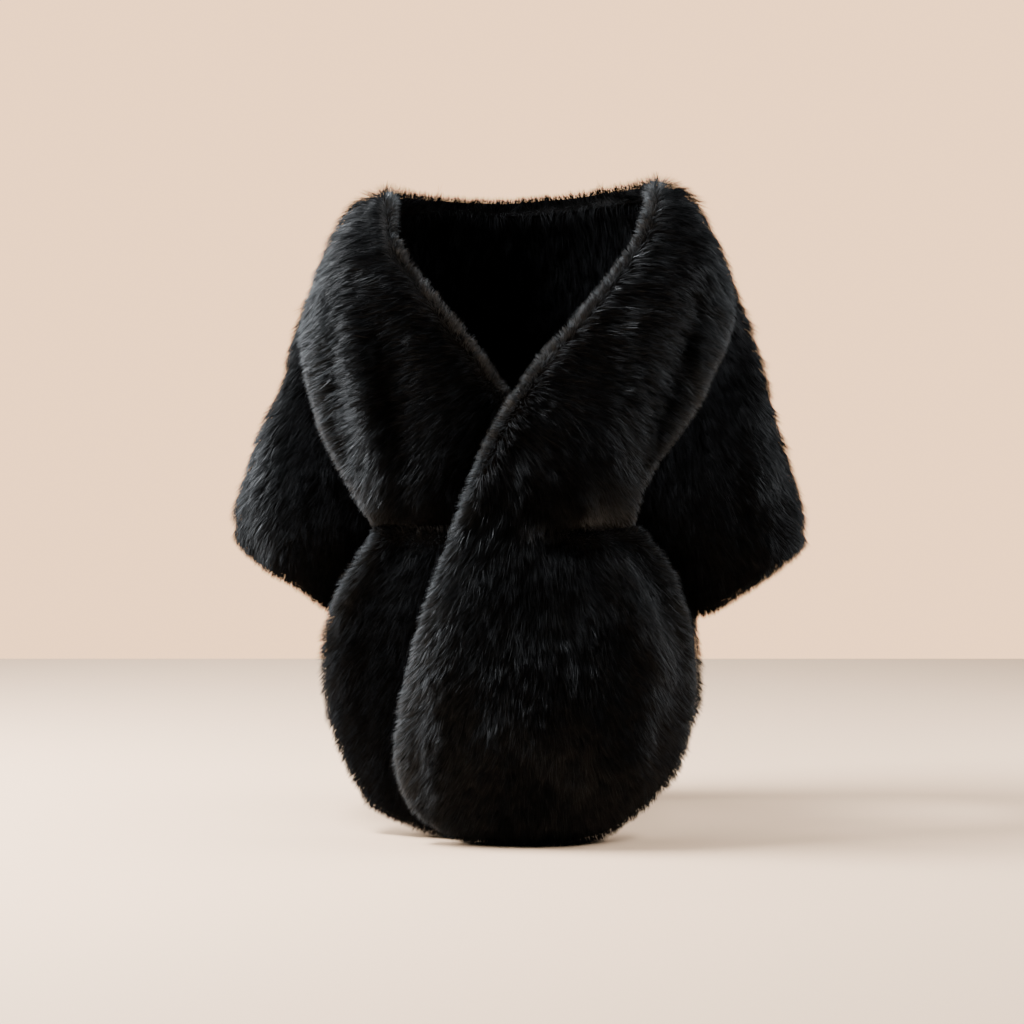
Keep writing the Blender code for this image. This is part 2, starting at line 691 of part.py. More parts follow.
def make_fur_material():
    material = bpy.data.materials.new("fur")
    material.use_nodes = True
    shader = material.node_tree.nodes["Principled BSDF"]
    shader.inputs["Base Color"].default_value = (*FUR_BLACK, 1.0)
    shader.inputs["Roughness"].default_value = 0.55
    shader.inputs["Metallic"].default_value = 0.0


for old in list(bpy.data.objects):
    bpy.data.objects.remove(old)
make_fur_material()
make_front("front_under", -1, "under", lambda x, z: under_out(x, z, UNDER_FRONT_FOLDS))
make_front("front_over", 1, "over", lambda x, z: over_out(x, z, OVER_FRONT_FOLDS, UNDER_FRONT_FOLDS))
make_tail("tail_under", "under", lambda x, z: under_out(x, z, UNDER_TAIL_FOLDS))
make_tail("tail_over", "over", lambda x, z: over_out(x, z, OVER_TAIL_FOLDS, UNDER_TAIL_FOLDS))
make_side("side_left", -1, "under", UNDER_SIDE_FOLDS)
make_side("side_right", 1, "over", OVER_SIDE_FOLDS)
make_back("back", BACK_FOLDS)
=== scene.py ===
import math

import bpy
import numpy as np
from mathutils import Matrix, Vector, noise
from mathutils.bvhtree import BVHTree


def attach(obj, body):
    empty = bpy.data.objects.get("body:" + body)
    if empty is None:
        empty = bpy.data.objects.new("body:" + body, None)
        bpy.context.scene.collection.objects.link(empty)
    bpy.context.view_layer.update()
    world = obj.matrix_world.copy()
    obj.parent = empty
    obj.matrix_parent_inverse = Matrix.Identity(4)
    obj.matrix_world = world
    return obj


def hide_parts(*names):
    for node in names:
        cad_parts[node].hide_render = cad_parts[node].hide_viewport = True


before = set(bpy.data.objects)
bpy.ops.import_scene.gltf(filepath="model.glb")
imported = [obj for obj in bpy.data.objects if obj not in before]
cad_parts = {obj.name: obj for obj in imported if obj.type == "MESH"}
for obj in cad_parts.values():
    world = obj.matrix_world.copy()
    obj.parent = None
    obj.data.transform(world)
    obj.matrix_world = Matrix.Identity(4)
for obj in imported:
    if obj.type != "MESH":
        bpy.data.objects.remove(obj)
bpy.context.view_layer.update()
body = "root"


# Node trees, written as Python expressions

class Wire:  # a socket that arithmetic works on
    def __init__(self, tree, socket):
        self.tree, self.socket = tree, socket

    def calc(self, operation, first, second):
        return self.tree.wire("ShaderNodeMath", {"operation": operation}, {0: first, 1: second})

    def __add__(self, other):
        return self.calc("ADD", self, other)

    def __sub__(self, other):
        return self.calc("SUBTRACT", self, other)

    def __rsub__(self, other):
        return self.calc("SUBTRACT", other, self)

    def __mul__(self, other):
        return self.calc("MULTIPLY", self, other)

    def __truediv__(self, other):
        return self.calc("DIVIDE", self, other)

    def __rtruediv__(self, other):
        return self.calc("DIVIDE", other, self)

    __radd__ = __add__
    __rmul__ = __mul__


class Tree:
    def __init__(self, nodeTree):
        self.nodeTree = nodeTree

    def pick(self, sockets, key):
        if isinstance(key, int):
            return sockets[key]
        return next(s for s in sockets if s.name == key and s.enabled)

    def node(self, kind, settings=None, inputs=None):
        made = self.nodeTree.nodes.new(kind)
        for name, value in (settings or {}).items():
            if name == "stops":
                ramp = made.color_ramp
                while len(ramp.elements) < len(value):
                    ramp.elements.new(0.5)
                for element, (place, shade) in zip(ramp.elements, value):
                    element.position = place
                    element.color = (shade, shade, shade, 1.0)
            else:
                setattr(made, name, value)
        for key, value in (inputs or {}).items():
            socket = self.pick(made.inputs, key)
            if isinstance(value, Wire):
                self.nodeTree.links.new(value.socket, socket)
            else:
                socket.default_value = value
        return made

    def wire(self, kind, settings=None, inputs=None, output=0):
        made = self.node(kind, settings, inputs)
        if isinstance(output, int):
            usable = [s for s in made.outputs if s.enabled]
            return Wire(self, usable[output])
        return Wire(self, self.pick(made.outputs, output))

    def vector(self, operation, first, second):
        return self.wire("ShaderNodeVectorMath", {"operation": operation}, {0: first, 1: second})

    def scaled(self, vector, factor):
        return self.wire("ShaderNodeVectorMath", {"operation": "SCALE"}, {0: vector, "Scale": factor})

    def unit(self, vector):
        return self.wire("ShaderNodeVectorMath", {"operation": "NORMALIZE"}, {0: vector})


def link(tree, wire, socket):
    tree.nodeTree.links.new(wire.socket, socket)


def blendColour(tree, factor, low, high):
    inputs = {"Factor": factor, "A": low, "B": high}
    for key in ("A", "B"):
        if not isinstance(inputs[key], Wire):
            inputs[key] = (*inputs[key], 1.0)
    return tree.wire("ShaderNodeMix", {"data_type": "RGBA"}, inputs, output="Result")


# Camera, floor and light

view = {
    "eye": (-0.0097, -2.9764, 0.60),
    "focal": 81.13,  # mm
    "sensor": 36.0,
    "focalPixels": 2307.7,  # the same in pixels of the photograph
    "horizonUp": 153.3,  # how many of them the horizon stands above the middle, as the lens looks down
}
studio = {
    "floorColour": (0.90, 0.635, 0.43),
    "wallColour": (1.0, 0.59, 0.318),
    "wallGlow": 2.80,  # as the camera sees it
    "roomColour": (0.58, 0.80, 1.0),
    "roomLight": 0.03,  # what the rest of the room gives
    "floorBack": 1.62,  # where the floor ends and the plain backdrop starts
    "floorSide": 4.0,
    "lamps": (
        # name, place, aims at, width, height, watts, colour
        ("leftBank", (-1.8, 0.10, 1.0), (0.0, 0.0, 0.44), 0.6, 1.3, 100.0, (1.0, 1.0, 1.0)),
        ("leftHigh", (-1.15, -0.05, 1.9), (0.0, -0.1, 0.40), 0.5, 0.5, 145.0, (1.0, 1.0, 1.0)),
        ("rightHigh", (1.3, -0.05, 1.9), (0.0, -0.1, 0.45), 0.6, 0.5, 36.0, (1.0, 1.0, 1.0)),
        ("rightBank", (1.75, 0.45, 0.75), (0.0, 0.0, 0.50), 0.6, 1.2, 38.0, (1.0, 1.0, 1.0)),
        ("overhead", (-0.9, 0.2, 2.7), (0.0, 0.2, 0.0), 2.0, 1.4, 50.0, (1.0, 0.99, 0.97)),
        ("front", (-1.2, -3.2, 2.2), (0.0, -0.8, 0.1), 1.6, 1.0, 10.0, (1.0, 1.0, 1.0)),
    ),
}


def aim(thing, target):
    away = Vector(target) - thing.location
    thing.rotation_euler = away.to_track_quat("-Z", "Y").to_euler()


def addObject(name, data):
    thing = bpy.data.objects.new(name, data)
    bpy.context.scene.collection.objects.link(thing)
    return thing


def placeCamera():
    lens = bpy.data.cameras.new("photoCamera")
    lens.sensor_width = view["sensor"]
    lens.lens = view["focal"]
    camera = addObject("photoCamera", lens)
    camera.location = view["eye"]
    pitch = math.atan(view["horizonUp"] / view["focalPixels"])
    camera.rotation_euler = (math.pi / 2 - pitch, 0.0, 0.0)
    bpy.context.scene.camera = camera


def lightStudio():
    for name, place, target, width, height, watts, colour in studio["lamps"]:
        lamp = bpy.data.lights.new(name, "AREA")
        lamp.shape = "RECTANGLE"
        lamp.size, lamp.size_y = width, height
        lamp.energy = watts
        lamp.color = colour
        thing = addObject(name, lamp)
        thing.location = place
        aim(thing, target)
    world = bpy.data.worlds.new("studioWall")
    bpy.context.scene.world = world
    world.use_nodes = True
    tree = Tree(world.node_tree)
    glow = world.node_tree.nodes["Background"]
    seen = tree.wire("ShaderNodeLightPath", output="Is Camera Ray")
    link(tree, blendColour(tree, seen, studio["roomColour"], studio["wallColour"]), glow.inputs["Color"])
    strength = seen * (studio["wallGlow"] - studio["roomLight"]) + studio["roomLight"]
    link(tree, strength, glow.inputs["Strength"])


# Materials

furLook = {
    "root": (0.0005, 0.0005, 0.0006),
    "tip": (0.0012, 0.0014, 0.0017),
    "faded": (0.0150, 0.0165, 0.0180),  # the few lighter tufts
    "paintedHighlight": (0.1800, 0.1970, 0.2140),  # and the painted highlight: strands made lighter along the edges and in the sheen bands, where light would catch them
    "glossTint": (0.85, 0.92, 1.0),
    "sheenLow": 0.30,
    "sheenHigh": 0.58,
    "mattedRough": 0.38,  # added where another panel presses the fur
    "specular": 0.065,
    "ior": 1.55,
    "tuftScale": 34.0,
    "patchScale": 9.0,
    "patchDetail": 3.0,
    "paleFrom": 0.60,  # strands whose shade is above this are pale at the tip
    "paleTo": 0.84,
    "paleByStrand": 0.65,  # the rest goes by tufts
    "paintedHighlightByStrand": 0.7,
    "glossByStrand": 0.7,  # the rest goes by patches
}
underfurLook = {
    "deep": (0.0005, 0.0005, 0.0006),
    "raised": (0.0022, 0.0022, 0.0025),
    "roughness": 0.9,
    "specular": 0.1,
    "grain": 420.0,
    "grainDetail": 3.0,
    "bump": 0.5,
    "bumpDepth": 0.002,
}
floorLook = {"roughness": 0.42, "cloudScale": 1.3, "cloudDetail": 4.0, "cloud": 0.05}


def newMaterial(name):
    material = bpy.data.materials.new(name)
    material.use_nodes = True
    shader = material.node_tree.nodes["Principled BSDF"]
    return material, Tree(material.node_tree), shader


def objectPlace(tree):
    return tree.wire("ShaderNodeTexCoord", output="Object")


def noiseAt(tree, place, scale, detail=2.0):
    inputs = {"Vector": place, "Scale": scale, "Detail": detail}
    return tree.wire("ShaderNodeTexNoise", None, inputs, output="Fac")


def ramp(tree, value, *stops):
    return tree.wire("ShaderNodeValToRGB", {"stops": stops}, {"Fac": value}, output="Color")


def attribute(tree, name):
    return tree.wire("ShaderNodeAttribute", {"attribute_name": name}, output="Fac")


def makeFurMaterial():
    material, tree, shader = newMaterial("blackPile")
    place = objectPlace(tree)
    along, shade = attribute(tree, "along"), attribute(tree, "shade")
    frost, matted = attribute(tree, "frost"), attribute(tree, "matted")
    tufts = noiseAt(tree, place, furLook["tuftScale"])
    patches = noiseAt(tree, place, furLook["patchScale"], furLook["patchDetail"])
    # painted shade: the pale tufts are left out where the fur lies under another panel, on the inside, or in
    # a band turned away from the light
    openAndLit = 1.0 - matted
    strand = blendColour(tree, along, furLook["root"], furLook["tip"])
    byStrand = furLook["paleByStrand"]
    pale = shade * byStrand + tufts * (1.0 - byStrand)
    pale = ramp(tree, pale, (furLook["paleFrom"], 0.0), (furLook["paleTo"], 1.0))
    colour = blendColour(tree, pale * along * openAndLit, strand, furLook["faded"])
    # painted highlight: the strands are mixed towards light grey by the share that the pelt gives them
    byStrand = furLook["paintedHighlightByStrand"]
    paintedHighlight = frost * along * (shade * byStrand + (1.0 - byStrand))
    colour = blendColour(tree, paintedHighlight, colour, furLook["paintedHighlight"])
    link(tree, colour, shader.inputs["Base Color"])
    low, high = furLook["sheenLow"], furLook["sheenHigh"]
    byStrand = furLook["glossByStrand"]
    gloss = (shade * byStrand + patches * (1.0 - byStrand)) * openAndLit
    link(tree, gloss * (low - high) + high + matted * furLook["mattedRough"], shader.inputs["Roughness"])
    shader.inputs["Specular IOR Level"].default_value = furLook["specular"]
    shader.inputs["Specular Tint"].default_value = (*furLook["glossTint"], 1.0)
    shader.inputs["IOR"].default_value = furLook["ior"]
    return material


def makeUnderfurMaterial():
    material, tree, shader = newMaterial("blackUnderfur")
    place = objectPlace(tree)
    grain = noiseAt(tree, place, underfurLook["grain"], underfurLook["grainDetail"])
    clouds = noiseAt(tree, place, furLook["tuftScale"])
    colour = blendColour(tree, grain * clouds, underfurLook["deep"], underfurLook["raised"])
    link(tree, colour, shader.inputs["Base Color"])
    inputs = {"Height": grain, "Strength": underfurLook["bump"], "Distance": underfurLook["bumpDepth"]}
    bump = tree.wire("ShaderNodeBump", None, inputs)
    link(tree, bump, shader.inputs["Normal"])
    shader.inputs["Roughness"].default_value = underfurLook["roughness"]
    shader.inputs["Specular IOR Level"].default_value = underfurLook["specular"]
    return material


def makeFloorMaterial():
    material, tree, shader = newMaterial("paleFloor")
    clouds = noiseAt(tree, objectPlace(tree), floorLook["cloudScale"], floorLook["cloudDetail"])
    dark = tuple(c * (1.0 - floorLook["cloud"]) for c in studio["floorColour"])
    link(tree, blendColour(tree, clouds, dark, studio["floorColour"]), shader.inputs["Base Color"])
    shader.inputs["Roughness"].default_value = floorLook["roughness"]
    return material


def layFloor():
    side, back = studio["floorSide"], studio["floorBack"]
    corners = [(-side, -side, 0.0), (side, -side, 0.0), (side, back, 0.0), (-side, back, 0.0)]
    mesh = bpy.data.meshes.new("floor")
    mesh.from_pydata(corners, [], [(0, 1, 2, 3)])
    mesh.materials.append(makeFloorMaterial())
    floor = addObject("floor", mesh)


placeCamera()
lightStudio()
layFloor()
print("camera, lights and floor are set")
furMaterial = makeFurMaterial()
underfurMaterial = makeUnderfurMaterial()
print("materials are mixed")


# The pelts: each panel's backing and dense underfur, drawn in from the solid so that the pile fills the rest

peltCut = {
    "weldSteps": 1e5,  # points that agree to this part of a metre are one
    "roundness": 0.35,  # how far a split edge's middle moves out to the curve of its ends
    "inset": 0.0075,
    "rimInset": 0.0090,
    "napeInset": 0.0038,
    "napeHeight": (0.70, 0.76),
    "napeBack": (-0.02, 0.04),
    "hemHeight": 0.034,  # below this the pelt comes out to the solid's own skin and stands on the floor
    "hemFill": 0.85,
    "onFloor": 1e-4,  # a point below this is on the floor
    "offFloor": 0.0004,  # and the pelt is kept this far above it
    "floorEase": 0.05,
    "waistFill": 0.0060,  # how much of the gather at the waist the pelt fills
    "rayStart": 0.001,
    "throughWall": 0.046,  # a way in longer than this runs along the wall, so it starts on a free edge
    "edgeSpread": 0.012,
    "seamGap": 0.00055,
    "seamFacing": -0.7,  # faces that are sewn together point against each other
    "seamReach": 0.0012,
    "seamEase": 0.020,
    "rollAway": 0.008,  # the rolled rim along a free edge, and the groove behind it
    "rollWidth": 0.009,
    "rollHeight": 0.002,
    "outerRoll": 0.9,  # how much of it a front's outer edge lacks
    "grooveAway": 0.030,
    "grooveDepth": 0.006,
    "lump": 0.0022,
    "lumpSize": 0.040,
    "foldsFull": 0.5,  # folds and rims are full where a face points this far away from the body
    "insideBelow": -0.25,  # and one that points inwards more than this is on the inside
    "coverFrom": 0.0012,  # a ray is sent out from here
    "coverReach": 0.0070,
    "coverNear": 0.0069,  # and another panel nearer than this covers the pelt
    "bodyHalfWidth": 0.32,
    "bodyHalfDepth": 0.15,
    "bodyMiddle": 0.0236,  # y of the middle of the shoulders
}

# Each band runs from its start to its end, given across and up, with a width and a strength
bandColumns = ("start", "end", "width", "strength")
bandEnds = 0.5  # how much weaker a band is at its ends

# Creases by panel, as deep as their strength says. Above 0 is a ridge.
creases = {
    "front_under": (
        ((-0.236, 0.680), (-0.216, 0.490), 0.012, -0.008),
        ((-0.207, 0.670), (-0.190, 0.500), 0.013, 0.006),
        ((-0.152, 0.640), (-0.143, 0.480), 0.018, -0.006),
        ((-0.162, 0.392), (-0.146, 0.452), 0.008, -0.006),
        ((-0.128, 0.392), (-0.116, 0.445), 0.008, 0.004),
        ((-0.104, 0.392), (-0.094, 0.440), 0.007, -0.005),
    ),
    "front_over": (
        ((0.222, 0.680), (0.142, 0.440), 0.013, -0.007),
        ((0.190, 0.690), (0.104, 0.440), 0.014, 0.005),
        ((0.150, 0.650), (0.060, 0.450), 0.018, -0.006),
        ((0.088, 0.392), (0.070, 0.465), 0.010, 0.005),
        ((0.034, 0.392), (0.012, 0.460), 0.010, -0.005),
        ((0.120, 0.392), (0.132, 0.440), 0.007, -0.005),
    ),
    "tail_over": (
        ((0.098, 0.388), (0.149, 0.337), 0.010, 0.006),
        ((0.149, 0.337), (0.180, 0.250), 0.010, 0.006),
        ((0.124, 0.380), (0.166, 0.316), 0.008, -0.007),
        ((0.166, 0.316), (0.188, 0.235), 0.008, -0.007),
        ((0.066, 0.375), (0.122, 0.300), 0.013, -0.006),
        ((0.122, 0.300), (0.146, 0.225), 0.013, -0.006),
        ((0.030, 0.240), (0.100, 0.200), 0.016, 0.003),
        ((-0.025, 0.158), (0.086, 0.075), 0.015, 0.006),
        ((-0.112, 0.255), (-0.116, 0.080), 0.020, 0.004),
        ((-0.064, 0.290), (-0.068, 0.070), 0.018, -0.008),
        ((0.120, 0.150), (0.078, 0.050), 0.014, -0.006),
    ),
    "tail_under": (
        ((-0.214, 0.305), (-0.222, 0.180), 0.014, 0.004),
        ((-0.186, 0.310), (-0.196, 0.130), 0.014, -0.006),
        ((-0.150, 0.380), (-0.172, 0.300), 0.009, -0.005),
    ),
    "side_left": (
        ((-0.318, 0.470), (-0.276, 0.345), 0.014, -0.006),
        ((-0.262, 0.500), (-0.220, 0.330), 0.016, 0.005),
        ((-0.300, 0.600), (-0.310, 0.480), 0.014, -0.005),
    ),
    "side_right": (
        ((0.290, 0.560), (0.322, 0.370), 0.014, 0.005),
        ((0.262, 0.530), (0.282, 0.335), 0.015, -0.007),
        ((0.236, 0.470), (0.232, 0.330), 0.015, 0.004),
    ),
    "back": (
        ((-0.120, 0.640), (-0.150, 0.380), 0.020, -0.008),
        ((0.060, 0.600), (0.085, 0.330), 0.020, -0.007),
        ((-0.030, 0.500), (-0.045, 0.240), 0.018, 0.006),
        ((0.130, 0.420), (0.150, 0.180), 0.018, -0.007),
        ((-0.100, 0.300), (-0.120, 0.120), 0.018, -0.007),
        ((0.010, 0.260), (0.020, 0.080), 0.018, -0.006),
        ((0.080, 0.720), (0.120, 0.560), 0.018, 0.005),
    ),
}

# Bands by panel in which the lay of the fur turns it to the light, above 0, or away from it; above 0 the
# strands also get a painted highlight, below it painted shade
sheens = {
    "front_over": (
        ((0.208, 0.660), (0.165, 0.500), 0.036, 1.1),
        ((0.170, 0.795), (0.152, 0.730), 0.028, 1.0),
        ((0.130, 0.640), (0.120, 0.520), 0.026, 0.6),
        ((0.030, 0.460), (0.150, 0.400), 0.035, -1.0),
    ),
    "tail_over": (
        ((-0.045, 0.320), (0.060, 0.315), 0.048, -1.0),
        ((0.105, 0.375), (0.178, 0.255), 0.022, 0.9),
        ((-0.018, 0.167), (0.088, 0.083), 0.018, 0.45),
        ((-0.078, 0.350), (-0.098, 0.210), 0.018, 0.3),
        ((-0.102, 0.200), (-0.108, 0.020), 0.034, 1.3),
        ((0.196, 0.280), (0.150, 0.100), 0.014, 0.7),
    ),
    "front_under": (
        ((-0.232, 0.600), (-0.190, 0.450), 0.025, 0.9),
    ),
    "tail_under": (
        ((-0.184, 0.350), (-0.168, 0.090), 0.062, -1.2),
    ),
    "side_left": (
        ((-0.284, 0.560), (-0.258, 0.350), 0.050, -1.2),
        ((-0.330, 0.545), (-0.354, 0.430), 0.020, 1.4),
        ((-0.350, 0.420), (-0.300, 0.320), 0.013, 0.7),
    ),
}


def smooth(low, high, value):
    t = np.clip((np.asarray(value, float) - low) / (high - low), 0.0, 1.0)
    return t * t * (3.0 - 2.0 * t)


def hump(value, width, middle=0.0):  # 1 at the middle, fading to 0 on both sides
    return np.exp(-(((value - middle) / width) ** 2))


def unit(rows):
    return rows / np.maximum(np.linalg.norm(rows, axis=-1, keepdims=True), 1e-12)


def weldedSkin(node):  # a CAD node comes as loose triangles, so its points are merged first
    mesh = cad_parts[node].data
    mesh.calc_loop_triangles()
    loose = np.array([v.co for v in mesh.vertices])
    corners = np.array([t.vertices for t in mesh.loop_triangles])
    steps = np.round(loose * peltCut["weldSteps"]).astype(np.int64)
    keys, merged = np.unique(steps, axis=0, return_inverse=True)
    merged = merged.ravel()
    points = np.zeros((len(keys), 3))
    points[merged] = loose
    triangles = merged[corners]
    whole = (triangles[:, 0] != triangles[:, 1]) & (triangles[:, 1] != triangles[:, 2])
    whole &= triangles[:, 2] != triangles[:, 0]
    return points, triangles[whole]


def faceNormals(points, triangles):
    a, b, c = (points[triangles[:, i]] for i in range(3))
    return np.cross(b - a, c - a) / 2.0


def pointNormals(points, triangles, used):  # weighted by each corner's angle
    normals = np.zeros_like(points)
    faces = unit(faceNormals(points, triangles))
    for i in range(3):
        here, ahead, behind = (points[triangles[:, (i + k) % 3]] for k in range(3))
        cosine = (unit(ahead - here) * unit(behind - here)).sum(1)
        angle = np.arccos(np.clip(cosine, -1.0, 1.0)) * used
        np.add.at(normals, triangles[:, i], faces * angle[:, None])
    return unit(normals)


def splitOnce(points, triangles, normals, fields):  # four triangles from each, rounded by its normals
    sides = [triangles[:, [i, (i + 1) % 3]] for i in range(3)]
    edges = np.sort(np.concatenate(sides), axis=1)
    pairs, which = np.unique(edges, axis=0, return_inverse=True)
    which = which.ravel().reshape(3, -1) + len(points)
    first, second = points[pairs[:, 0]], points[pairs[:, 1]]
    middle = (first + second) / 2.0
    for corner, end in ((first, pairs[:, 0]), (second, pairs[:, 1])):
        height = ((middle - corner) * normals[end]).sum(1, keepdims=True)
        middle -= peltCut["roundness"] * height * normals[end]
    a, b, c = triangles.T
    ab, bc, ca = which
    quarters = [(a, ab, ca), (ab, b, bc), (ca, bc, c), (ab, bc, ca)]
    split = np.concatenate([np.stack(q, axis=1) for q in quarters])
    mixed = [np.concatenate([f, (f[pairs[:, 0]] + f[pairs[:, 1]]) / 2.0]) for f in fields]
    return np.concatenate([points, middle]), split, mixed


def outwardFromBody(points):
    x = points[:, 0] / peltCut["bodyHalfWidth"] ** 2
    y = (points[:, 1] - peltCut["bodyMiddle"]) / peltCut["bodyHalfDepth"] ** 2
    return unit(np.stack([x, y, np.zeros(len(points))], axis=1))


def bandsAt(rows, points):  # the strength of all the bands together
    total = np.zeros(len(points))
    for row in rows:
        band = dict(zip(bandColumns, row))
        start, end = np.array(band["start"]), np.array(band["end"])
        run = end - start
        here = points[:, [0, 2]] - start
        t = np.clip(here @ run / (run @ run), 0.0, 1.0)
        away = np.linalg.norm(here - t[:, None] * run, axis=1)
        fade = 1.0 - bandEnds * np.abs(2.0 * t - 1.0) ** 2
        total += band["strength"] * fade * hump(away, band["width"])
    return total


# The lay of the pile: which way the fur is combed on each panel

combing = {
    "frontTopAngle": 22.0,  # degrees below level, high up on a front
    "frontLowAngle": 62.0,  # and above the waist
    "frontTurns": (0.62, 0.42),
    "frontForward": 0.5,
    "shoulderHang": 0.8,  # how much of it hangs straight, this far out and up
    "shoulderOut": (0.18, 0.26),
    "shoulderUp": (0.56, 0.66),
    "tailFrom": (0.48, 0.40),  # the height over which a front's lay becomes its tail's
    "tailFan": 0.85,
    "tailCentres": {"over": 0.035, "under": -0.075},
    "tailHalfWidth": 0.18,
    "hangFan": 1.3,
    "lift": 24.0,  # degrees that a strand rises from the pelt
    "rimLift": 40.0,
    "rimOver": 0.6,  # how far it is combed out over the edge instead of its own way
    "rimNear": 0.009,  # within this distance of a free edge the fur is combed over it
    "rimFar": 0.026,
    "rimThicker": 1.5,  # how much denser the pile is there, where it fans out
    "rimLoose": 0.8,  # and how much less it gathers in tufts
    "droop": 0.7,  # how far the tails' rims are combed down
    "droopBelow": (0.50, 0.40),
    "innerRim": 0.25,  # share of the combing over the edge that is left on the inside of the walls
    "innerFrom": (0.1, -0.3),
    "napeRim": 0.85,  # and what the inside of the back's upper rim has instead
    "napeFrom": (0.35, -0.1),
    "napeLift": 38.0,
    "napeLonger": 0.80,
    "sideLonger": 0.12,
    "tuckHeight": 0.390,  # the waist, where the fur stands up out of the gather and meets over it
    "tuckSpan": 0.015,
    "tuckLift": 34.0,
    "tailTuckLift": 58.0,
    "tuckShort": 0.6,  # the share of its length that a front's fur keeps there
    "tuckFrom": (0.009, 0.084),  # across the over front, which runs on smoothly to the left of this
    "leadShort": 0.45,  # how much shorter the over tail's leading edge is trimmed
    "splay": 0.8,  # the pile spreads out where it meets the floor
    "splayHeight": 0.030,
    "hemReach": 0.018,
    # painted highlight: how strongly and how far from the edges the strands are made lighter, as if light
    # caught them there
    "gatherPaintedHighlight": 0.16,
    "sheenPaintedHighlight": 0.18,
    "paintedHighlightReach": {"front": 0.011, "tail": 0.015},
    "paintedHighlightLevel": 0.6,  # how pale an edge is that runs upright
    "paintedHighlightUp": 0.8,  # how much paler one that looks up is
    "paintedHighlightOuter": 0.85,  # and a front's outer edge
    "paintedHighlightLeast": 0.55,  # every edge has this share of it, and a front's edges that look up have all
    "paintedHighlightRise": 1.4,  # how soon they have it as they turn up
    "outerPaintedHighlight": 0.044,  # how much further it reaches from a front's outer edge
    "lowPaintedHighlight": 0.032,  # and, low on the over tail, from the edge that faces left
    "lowPaintedHighlightFrom": (0.42, 0.20),
    "liesUnder": {
        "front_under": ("front_over",),
        "tail_under": ("tail_over", "front_over"),
        "side_left": ("front_under", "tail_under"),
        "side_right": ("front_over", "tail_over"),
    },
    # painted shade beside a panel that lies over this one, low down and on the inside: the pale tufts are
    # left out and the fur is rougher
    "mattedAndShadedFrom": 0.018,
    "mattedAndShadedTo": 0.095,
    "mattedAndShadedBelow": (0.68, 0.56),
    "mattedAndShadedInside": 0.85,
    "mattedAndShadedInward": (0.0, -0.3),
    "thinInward": (0.0, -0.4),  # where the pile thins out on the inside
    "thinShare": 0.28,
    "neckHeight": (0.50, 0.62),
    "neckShare": {"back": 0.9, "side": 0.6, "front": 0.6, "tail": 0.6},
    "flatness": {"front": 0.4, "tail": 2.0, "side": 1.3, "back": 0.0},  # how little the strands' flats turn
    "turning": 0.020,  # how near an edge they turn as the pelt does
    "edgeTurn": 0.3,
    "litWay": (0.7, -0.6, 0.4),  # the way that they face in a sheen on the right half, mirrored on the left
    "shadedWay": (0.0, -1.0, -0.05),
    "frontFacing": (0.2, -0.2),
    "longest": 0.0285,
    "shortest": 0.011,
    "pastSkin": 1.62,  # strands end this share past the solid's own skin
}


def downward(across):  # straight down, fanned out across by so much
    return unit(np.stack([across, np.zeros(len(across)), -np.ones(len(across))], axis=1))


def hangComb(points):
    return downward(points[:, 0] * combing["hangFan"])


def tailComb(layer, points):
    across = (points[:, 0] - combing["tailCentres"][layer]) / combing["tailHalfWidth"]
    return downward(across * combing["tailFan"])


def frontComb(layer, points):
    way = 1.0 if layer == "over" else -1.0
    out, up = np.abs(points[:, 0]), points[:, 2]
    top, low = combing["frontTopAngle"], combing["frontLowAngle"]
    angle = np.radians(top + (low - top) * smooth(*combing["frontTurns"], up))
    level, down = np.cos(angle), np.sin(angle)
    comb = np.stack([way * level, combing["frontForward"] * level, -down], axis=1)
    share = smooth(*combing["tailFrom"], up)[:, None]
    comb = unit(comb * (1.0 - share) + tailComb(layer, points) * share)
    share = smooth(*combing["shoulderOut"], out) * smooth(*combing["shoulderUp"], up)
    share = share[:, None] * combing["shoulderHang"]
    return unit(comb * (1.0 - share) + hangComb(points) * share)


def tuckShare(node, points):
    if not node.startswith(("front", "tail")):
        return np.zeros(len(points))
    share = hump(points[:, 2], combing["tuckSpan"], combing["tuckHeight"])
    if node.endswith("over"):
        share *= smooth(*combing["tuckFrom"], points[:, 0])
    return share


combOf = {
    "back": hangComb,
    "side_left": hangComb,
    "side_right": hangComb,
    "front_under": lambda points: frontComb("under", points),
    "front_over": lambda points: frontComb("over", points),
    "tail_under": lambda points: tailComb("under", points),
    "tail_over": lambda points: tailComb("over", points),
}


def castOut(tree, starts, ways, far):
    found = np.full(len(starts), far)
    for i, (start, way) in enumerate(zip(starts, ways)):
        distance = tree.ray_cast(Vector(start), Vector(way), far)[3]
        if distance is not None:
            found[i] = distance
    return found


skins = {node: weldedSkin(node) for node in combOf}
solidTrees = {n: BVHTree.FromPolygons(p.tolist(), t.tolist()) for n, (p, t) in skins.items()}


def seamFaces(node):  # the ends of a wall where it is sewn to its neighbour
    points, triangles = skins[node]
    centres = points[triangles].mean(1)
    normals = unit(faceNormals(points, triangles))
    sewn = np.zeros(len(triangles), bool)
    for other, tree in solidTrees.items():
        if other == node:
            continue
        for i, (centre, normal) in enumerate(zip(centres, normals)):
            place, facing = tree.find_nearest(Vector(centre), peltCut["seamGap"])[:2]
            if place is not None and facing.dot(Vector(normal)) < peltCut["seamFacing"]:
                sewn[i] = True
    return sewn


sewnFaces = {node: seamFaces(node) for node in skins}
print("seams found:", {node: int(sewn.sum()) for node, sewn in sewnFaces.items()})


